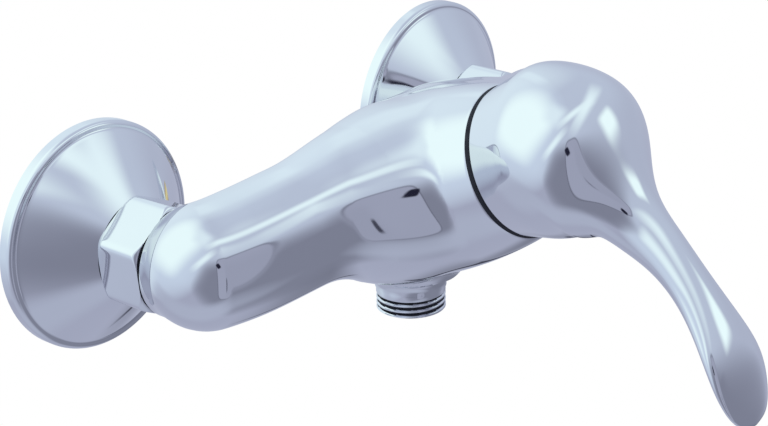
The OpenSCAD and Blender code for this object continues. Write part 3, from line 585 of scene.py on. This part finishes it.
def make_nut(side):
    """Union nut: a hexagon with eased edges, its corners turned down to a cone at both ends."""
    sides, end_rows, middle_rows = 288, 14, 16
    edge, soft, fall = 0.35, 0.35, 0.9
    flat = NUT_FLATS / 2
    corner = flat / cos(pi / 6)
    local = (np.degrees(around(sides)) - NUT_TURN) % 60 - 30
    hexagon = np.minimum(flat / np.cos(np.radians(local)), corner - edge)
    for _ in range(6):
        hexagon = 0.5 * hexagon + 0.25 * (np.roll(hexagon, 1) + np.roll(hexagon, -1))
    chamfer = (corner - flat) * tan(pi / 6) + fall
    ends = chamfer * np.linspace(0, 1.25, end_rows) ** 1.2
    middle = np.linspace(NUT_BACK + 1.5 * chamfer, NUT_FRONT - 1.5 * chamfer, middle_rows)
    heights = np.concatenate([NUT_BACK + ends, middle, (NUT_FRONT - ends)[::-1]])
    rings = []
    for z in heights:
        end = min(z - NUT_BACK, NUT_FRONT - z)
        cone = flat - 0.25 + (corner - flat + 0.5) * sqrt(max(0.0, min(1.0, end / chamfer)))
        rings.append(ring(blended(hexagon, cone, soft), z, sides))
    throat = SHANK_RADIUS + 0.1
    lip = NUT_FRONT - NUT_LIP
    rings += rings_of([(throat + 0.25, NUT_FRONT), (throat, NUT_FRONT - 0.3), (throat, lip), (NUT_BORE, lip),
                       (NUT_BORE, NUT_BACK + 0.4), (NUT_BORE + 0.4, NUT_BACK)], sides)
    name = "left_hex_nut" if side < 0 else "right_hex_nut"
    obj = new_object(name, at_inlet(np.concatenate(rings), side), grid_faces(len(rings), sides, True))
    fix_normals(obj)
    shade(obj, 34)
    # The front face, throat, lip, bore and back face get the painted shade of the seams beside the nut
    return shadow_rings(obj, sides, range(len(heights) - 1, len(rings)))


def thread_rings(radius, start, end, sides, fade=0.9, turn_rows=14, narrow=1.3):
    """Rings of a screw thread round Z, with rounded crests that fade out at both ends."""
    angle = around(sides)
    rings = []
    for z in np.linspace(start, end, int((end - start) / (THREAD_PITCH / turn_rows)) + 1):
        phase = (z / THREAD_PITCH - angle / (2 * pi)) % 1.0
        groove = 0.5 - 0.5 * np.cos(2 * pi * phase)
        depth = THREAD_DEEP * min(1.0, (z - start) / fade, (end - z) / fade + 0.25)
        rings.append(ring(radius - max(depth, 0.0) * groove ** narrow, z, sides))
    return rings


def hex_ring(flats, z, sides):
    """Hexagon of points round Z, of that size across its flats."""
    return ring(flats / 2 / np.cos((around(sides) + pi / 6) % (pi / 3) - pi / 6), z, sides)


def make_outlet():
    """Hose nipple: its threaded end, the shank in the body, the waterway and the hexagon socket."""
    sides = 180
    foot, top = -OUTLET_DROP, OUTLET_LENGTH - OUTLET_DROP
    shank_top, socket_top = top + OUTLET_GRIP, top
    rings = rings_of([(6.9, foot), (9.3, foot), (9.75, foot + 0.25)], sides)
    rings += thread_rings(OUTLET_THREAD, foot + 0.4, top - 1.9, sides)
    rings += rings_of([(OUTLET_THREAD, top - 1.7), (OUTLET_THREAD, top - 0.15), (OUTLET_THREAD - 0.15, top),
                       (OUTLET_SHANK, top), (OUTLET_SHANK, shank_top), (OUTLET_WATERWAY, shank_top),
                       (OUTLET_WATERWAY, socket_top)], sides)
    rings += [hex_ring(OUTLET_SOCKET, z, sides) for z in (socket_top, foot + 0.5)]
    obj = new_object("hose_nipple", at_outlet(np.concatenate(rings)), grid_faces(len(rings), sides, True))
    fix_normals(obj)
    shade(obj, 38)
    # The thread's grooves and the nipple's end face get the painted shade, a dark colour in place of their
    # shadow
    middle = np.array([f.center[:] for f in obj.data.polygons]) / MM
    reach = np.hypot(middle[:, 0], middle[:, 1] + OUTLET_DEPTH)
    painted_shade_mask = (reach < OUTLET_THREAD - 0.42 * THREAD_DEEP) | (middle[:, 2] < foot + 0.3)
    obj.data.polygons.foreach_set("material_index", painted_shade_mask.astype(int))
    return obj


# Finishes: the range of the noise that is used, how much it darkens, and the height of grain in metres
NOISE_LOW, NOISE_HIGH = 0.3, 0.7
DARKEN, GRAIN_HEIGHT = 0.12, 0.0002


def node(tree, kind, **values):
    """New node of that kind, with those settings."""
    n = tree.nodes.new(kind)
    for key, value in values.items():
        setattr(n, key, value)
    return n


def map_range(tree, value, start, end, low=0.0, high=1.0, **settings):
    """Maps a value that runs from start to end onto low to high."""
    n = node(tree, "ShaderNodeMapRange", **settings)
    tree.links.new(value, n.inputs["Value"])
    for name, number in (("From Min", start), ("From Max", end), ("To Min", low), ("To Max", high)):
        n.inputs[name].default_value = number
    return n.outputs["Result"]


def finish(name, colour, metallic, roughness, grain, grain_scale, vary=0.15, coat=0.0):
    """Surface with a fine uneven polish: noise varies the colour and the roughness and lifts the grain."""
    material = bpy.data.materials.new(name)
    material.use_nodes = True
    tree = material.node_tree
    shader = tree.nodes["Principled BSDF"]
    shader.inputs["Metallic"].default_value = metallic
    shader.inputs["Coat Weight"].default_value = coat
    place = node(tree, "ShaderNodeTexCoord")
    noise = node(tree, "ShaderNodeTexNoise")
    noise.inputs["Scale"].default_value = grain_scale / 4
    noise.inputs["Detail"].default_value = 6
    tree.links.new(place.outputs["Object"], noise.inputs["Vector"])
    rough = map_range(tree, noise.outputs["Fac"], NOISE_LOW, NOISE_HIGH,
                      roughness * (1 - vary), roughness * (1 + vary))
    tree.links.new(rough, shader.inputs["Roughness"])
    ramp = node(tree, "ShaderNodeValToRGB")
    darker = [c * (1 - DARKEN * vary) for c in colour]
    for stop, level, shown in zip(ramp.color_ramp.elements, (NOISE_LOW, NOISE_HIGH), (darker, colour)):
        stop.position = level
        stop.color = (*shown, 1)
    tree.links.new(noise.outputs["Fac"], ramp.inputs["Fac"])
    tree.links.new(ramp.outputs["Color"], shader.inputs["Base Color"])
    if grain:
        fine = node(tree, "ShaderNodeTexNoise")
        fine.inputs["Scale"].default_value = grain_scale
        tree.links.new(place.outputs["Object"], fine.inputs["Vector"])
        bump = node(tree, "ShaderNodeBump")
        bump.inputs["Strength"].default_value = grain
        bump.inputs["Distance"].default_value = GRAIN_HEIGHT
        tree.links.new(fine.outputs["Fac"], bump.inputs["Height"])
        tree.links.new(bump.outputs["Normal"], shader.inputs["Normal"])
    return material


CHROME = finish("polished_chrome", (0.75, 0.76, 0.8), 1.0, 0.04, 0.0, 120.0, vary=0.3)
# Painted shade: a near-black colour given to hidden inner faces and to the seams, gaps and grooves where
# shadow falls
PAINTED_SHADE = finish("painted_shade_gaps", (0.02, 0.02, 0.03), 0.3, 0.6, 0.2, 1500.0, vary=0.3)
FINISHES = {
    "chrome": CHROME,
    "brass": finish("turned_brass", (0.78, 0.58, 0.3), 1.0, 0.3, 0.15, 1600.0),
    "stainless": finish("satin_steel", (0.6, 0.61, 0.63), 1.0, 0.28, 0.12, 1400.0),
    "rubber": finish("black_rubber", (0.03, 0.03, 0.032), 0.0, 0.6, 0.3, 2200.0),
    "ceramic": finish("lapped_ceramic", (0.86, 0.85, 0.82), 0.0, 0.18, 0.05, 2400.0, coat=0.3),
    "white_plastic": finish("white_acetal", (0.82, 0.82, 0.8), 0.0, 0.42, 0.12, 1800.0),
    "amber_plastic": finish("amber_polymer", (0.6, 0.44, 0.2), 0.0, 0.4, 0.12, 1800.0),
    "grey_plastic": finish("grey_plug", (0.16, 0.165, 0.18), 0.0, 0.4, 0.1, 1800.0),
}


def dress_nodes():
    """Gives every carried-over node the finish of its material slot."""
    for part in frame["record"]["subparts"]:
        mesh = NODES[part["node"]].data
        mesh.materials.clear()
        mesh.materials.append(FINISHES[part["material_slot"]])


# Light, floor and camera
def looking(azimuth, height, lean):
    """Right, up and ahead of a look that way: azimuth from +Y, the wall, over +X, and height above level."""
    a, e = radians(azimuth), radians(height)
    ahead = Vector((sin(a) * cos(e), cos(a) * cos(e), sin(e)))
    right = ahead.cross(Vector((0, 0, 1))).normalized()
    turned = Matrix.Rotation(radians(lean), 3, ahead)
    return turned @ right, turned @ right.cross(ahead), ahead


def plain_white(tree, other, output):
    """White to the camera and to glossy and transmission rays, else the other shader."""
    white = node(tree, "ShaderNodeEmission")
    path = node(tree, "ShaderNodeLightPath")
    seen = path.outputs["Is Camera Ray"]
    for name in ("Is Glossy Ray", "Is Transmission Ray"):
        either = node(tree, "ShaderNodeMath", operation="MAXIMUM")
        tree.links.new(seen, either.inputs[0])
        tree.links.new(path.outputs[name], either.inputs[1])
        seen = either.outputs[0]
    mix = node(tree, "ShaderNodeMixShader")
    tree.links.new(seen, mix.inputs["Fac"])
    tree.links.new(other, mix.inputs[1])
    tree.links.new(white.outputs[0], mix.inputs[2])
    tree.links.new(mix.outputs[0], output)


def make_world():
    """Pale surroundings outside the tent."""
    world = bpy.data.worlds.new("studio")
    bpy.context.scene.world = world
    world.use_nodes = True
    tree = world.node_tree
    back = tree.nodes["Background"]
    back.inputs["Color"].default_value = (0.62, 0.65, 0.76, 1)
    plain_white(tree, back.outputs[0], tree.nodes["World Output"].inputs["Surface"])


def make_floor(reach=4000, drop=1200):
    """Plain pale floor, as far below the mixer as it is in a shower."""
    corners = [(-reach, -reach, -drop), (reach, -reach, -drop), (reach, reach, -drop), (-reach, reach, -drop)]
    floor = new_object("floor", corners, [(0, 1, 2, 3)])
    material = bpy.data.materials.new("pale_floor")
    material.use_nodes = True
    tree = material.node_tree
    shader = tree.nodes["Principled BSDF"]
    shader.inputs["Base Color"].default_value = (0.86, 0.87, 0.9, 1)
    shader.inputs["Roughness"].default_value = 0.6
    plain_white(tree, shader.outputs[0], tree.nodes["Material Output"].inputs["Surface"])
    floor.data.materials.append(material)


# Tones of cloth and light by level, from ink over lavender and pale sky to a cool white
TONE_LEVELS = (0.0, 0.4, 0.7, 1.0)
TONES = ((0.02, 0.02, 0.04), (0.47, 0.5, 0.63), (0.74, 0.86, 1.0), (1.08, 1.28, 1.25))
# Levels of the cloth below, at and above the mixer, and the heights at which one turns into the next
CLOTH_LEVELS = (0.4, 0.47, 0.56)
CLOTH_TURNS = (-0.35, 0.05, 0.6)
# Least depth that a soft box is measured at, which keeps its outline finite beside and behind
NEAREST = 0.02
# What stands behind the cloth: azimuth, height, half width, half height, softness, lean and level
SOFT_BOXES = [
    (305, 28, 64, 58, 0.85, 12, 0.7),
    (0, 23, 43, 46, 0.9, -3, 0.82),
    (183, -22, 59, 40, 0.5, -20, 0.22),
    (187, -4, 22, 7, 0.4, 22, 0.22),
    (264, -63, 50, 17, 0.65, -20, 0.45),
    (99, -45, 28, 18, 0.5, 10, 0.19),
    (301, 42, 33, 38, 0.5, -8, 1.0),
    (234, 68, 12, 10, 0.85, -30, 0.86),
    (150, 49, 26, 6, 0.9, 7, 0.92),
    (179, 56, 20, 4, 0.9, -6, 0.93),
    (230, 31, 18, 4, 0.9, 39, 0.92),
    (143, 22, 9, 7, 0.5, 0, 1.0),
    (38, 43, 4, 15, 0.6, 0, 0.83),
]
# Window of the studio: its frame, its glass, a shade across it, a post and two dark things near it
WINDOW = [
    (197, -4, 11.8, 33.8, 0.05, 0, 0.13),
    (197, -4, 11, 33, 0.05, 0, 0.36),
    (190, -8, 5, 28, 0.4, 0, 0.34),
    (194, -14, 0.6, 11, 0.35, 0, 0.04),
    (204.5, 19, 3, 4.2, 0.25, 25, 0.0),
    (62, -43, 0.9, 13, 0.3, 0, 0.04),
]


def tone(level):
    """Colour of that level, between the tones."""
    return tuple(float(np.interp(level, TONE_LEVELS, channel)) for channel in zip(*TONES))


def make_tent(radius=1100, depth_of_centre=60, steps=24, sides=48):
    """Tent of pale cloth with round-cornered soft boxes, which the camera doesn't see."""
    wall = rings_of(arc(0, 0, radius, -88, 88, steps), sides)
    ends = [tuple(range(sides)), tuple(range(steps * sides, (steps + 1) * sides))]
    points = np.concatenate(wall) + (0, -depth_of_centre, 0)
    tent = new_object("tent", points, grid_faces(len(wall), sides) + ends)
    tent.data.shade_smooth()
    tent.visible_camera = False
    material = bpy.data.materials.new("tent_cloth")
    material.use_nodes = True
    tree = material.node_tree
    tree.nodes.remove(tree.nodes["Principled BSDF"])
    place = node(tree, "ShaderNodeTexCoord")
    way = node(tree, "ShaderNodeVectorMath", operation="NORMALIZE")
    tree.links.new(place.outputs["Object"], way.inputs[0])

    def part(vector):
        """How much of the look goes along the vector."""
        n = node(tree, "ShaderNodeVectorMath", operation="DOT_PRODUCT")
        tree.links.new(way.outputs[0], n.inputs[0])
        n.inputs[1].default_value = vector
        return n.outputs["Value"]

    def maths(kind, a, b):
        """One step of arithmetic on numbers or sockets."""
        n = node(tree, "ShaderNodeMath", operation=kind)
        for socket, value in zip(n.inputs, (a, b)):
            if isinstance(value, (int, float)):
                socket.default_value = value
            else:
                tree.links.new(value, socket)
        return n.outputs[0]

    def ramp(value, start, end):
        return map_range(tree, value, start, end, interpolation_type="SMOOTHSTEP")

    def mixed(factor, a, b):
        """Colour between two others, each a tuple or a socket."""
        n = node(tree, "ShaderNodeMix", data_type="RGBA")
        tree.links.new(factor, n.inputs["Factor"])
        for socket, value in ((n.inputs[6], a), (n.inputs[7], b)):
            if isinstance(value, tuple):
                socket.default_value = (*value, 1)
            else:
                tree.links.new(value, socket)
        return n.outputs[2]

    below, beside, above = (tone(level) for level in CLOTH_LEVELS)
    rise = part((0, 0, 1))
    colour = mixed(ramp(rise, CLOTH_TURNS[0], CLOTH_TURNS[1]), below, beside)
    colour = mixed(ramp(rise, CLOTH_TURNS[1], CLOTH_TURNS[2]), colour, above)
    for azimuth, height, half_width, half_height, soft, lean, level in SOFT_BOXES + WINDOW:
        right, up, ahead = looking(azimuth, height, lean)
        depth = maths("MAXIMUM", part(ahead), NEAREST)
        fourths = []
        for axis, half in ((right, half_width), (up, half_height)):
            off = maths("DIVIDE", maths("DIVIDE", part(axis), depth), tan(radians(half)))
            fourths.append(maths("POWER", maths("MULTIPLY", off, off), 2.0))
        edge = maths("POWER", maths("ADD", *fourths), 0.25)
        in_front = ramp(part(ahead), 0.03, 0.1)
        cover = maths("MULTIPLY", in_front, ramp(edge, 1 + soft, 1 - soft))
        colour = mixed(cover, colour, tone(level))
    glow = node(tree, "ShaderNodeEmission")
    tree.links.new(colour, glow.inputs["Color"])
    tree.links.new(glow.outputs[0], tree.nodes["Material Output"].inputs["Surface"])
    material.cycles.emission_sampling = "NONE"
    tent.data.materials.append(material)


# The camera stands to the left of the mixer, a little above it, and looks down on it. Its place, its
# azimuth, height and lean and its lens were solved from edges that the photo shows.
CAMERA_PLACE = Vector((-442.1, -435.96, 228.56))
CAMERA_LOOK = (48.5874, -21.7255, 1.3282)
CAMERA_LENS, CAMERA_SENSOR = 99.12, 36.0


def make_camera():
    """Camera at the photograph's viewing angle."""
    data = bpy.data.cameras.new("camera")
    data.sensor_width = CAMERA_SENSOR
    data.sensor_fit = "HORIZONTAL"
    data.lens = CAMERA_LENS
    data.clip_start = 0.01
    data.clip_end = 20
    camera = bpy.data.objects.new("camera", data)
    bpy.context.scene.collection.objects.link(camera)
    right, up, ahead = looking(*CAMERA_LOOK)
    turn = Matrix((right, up, -ahead)).transposed().to_4x4()
    camera.matrix_world = Matrix.Translation(CAMERA_PLACE * MM) @ turn
    bpy.context.scene.camera = camera


make_camera()
make_world()
make_floor()
make_tent()
dress_nodes()
dress(make_casting(), "mixer_body", "body")
dress(make_handle(), "lever_handle", "handle")
dress(make_outlet(), "mixer_body", "outlet_nipple")
for side, word in ((-1, "left"), (1, "right")):
    dress(make_flange(side), "mixer_body", word + "_wall_flange")
    dress(make_nut(side), word + "_nut", word + "_union_nut")

bpy.context.scene.view_settings.view_transform = "Standard"
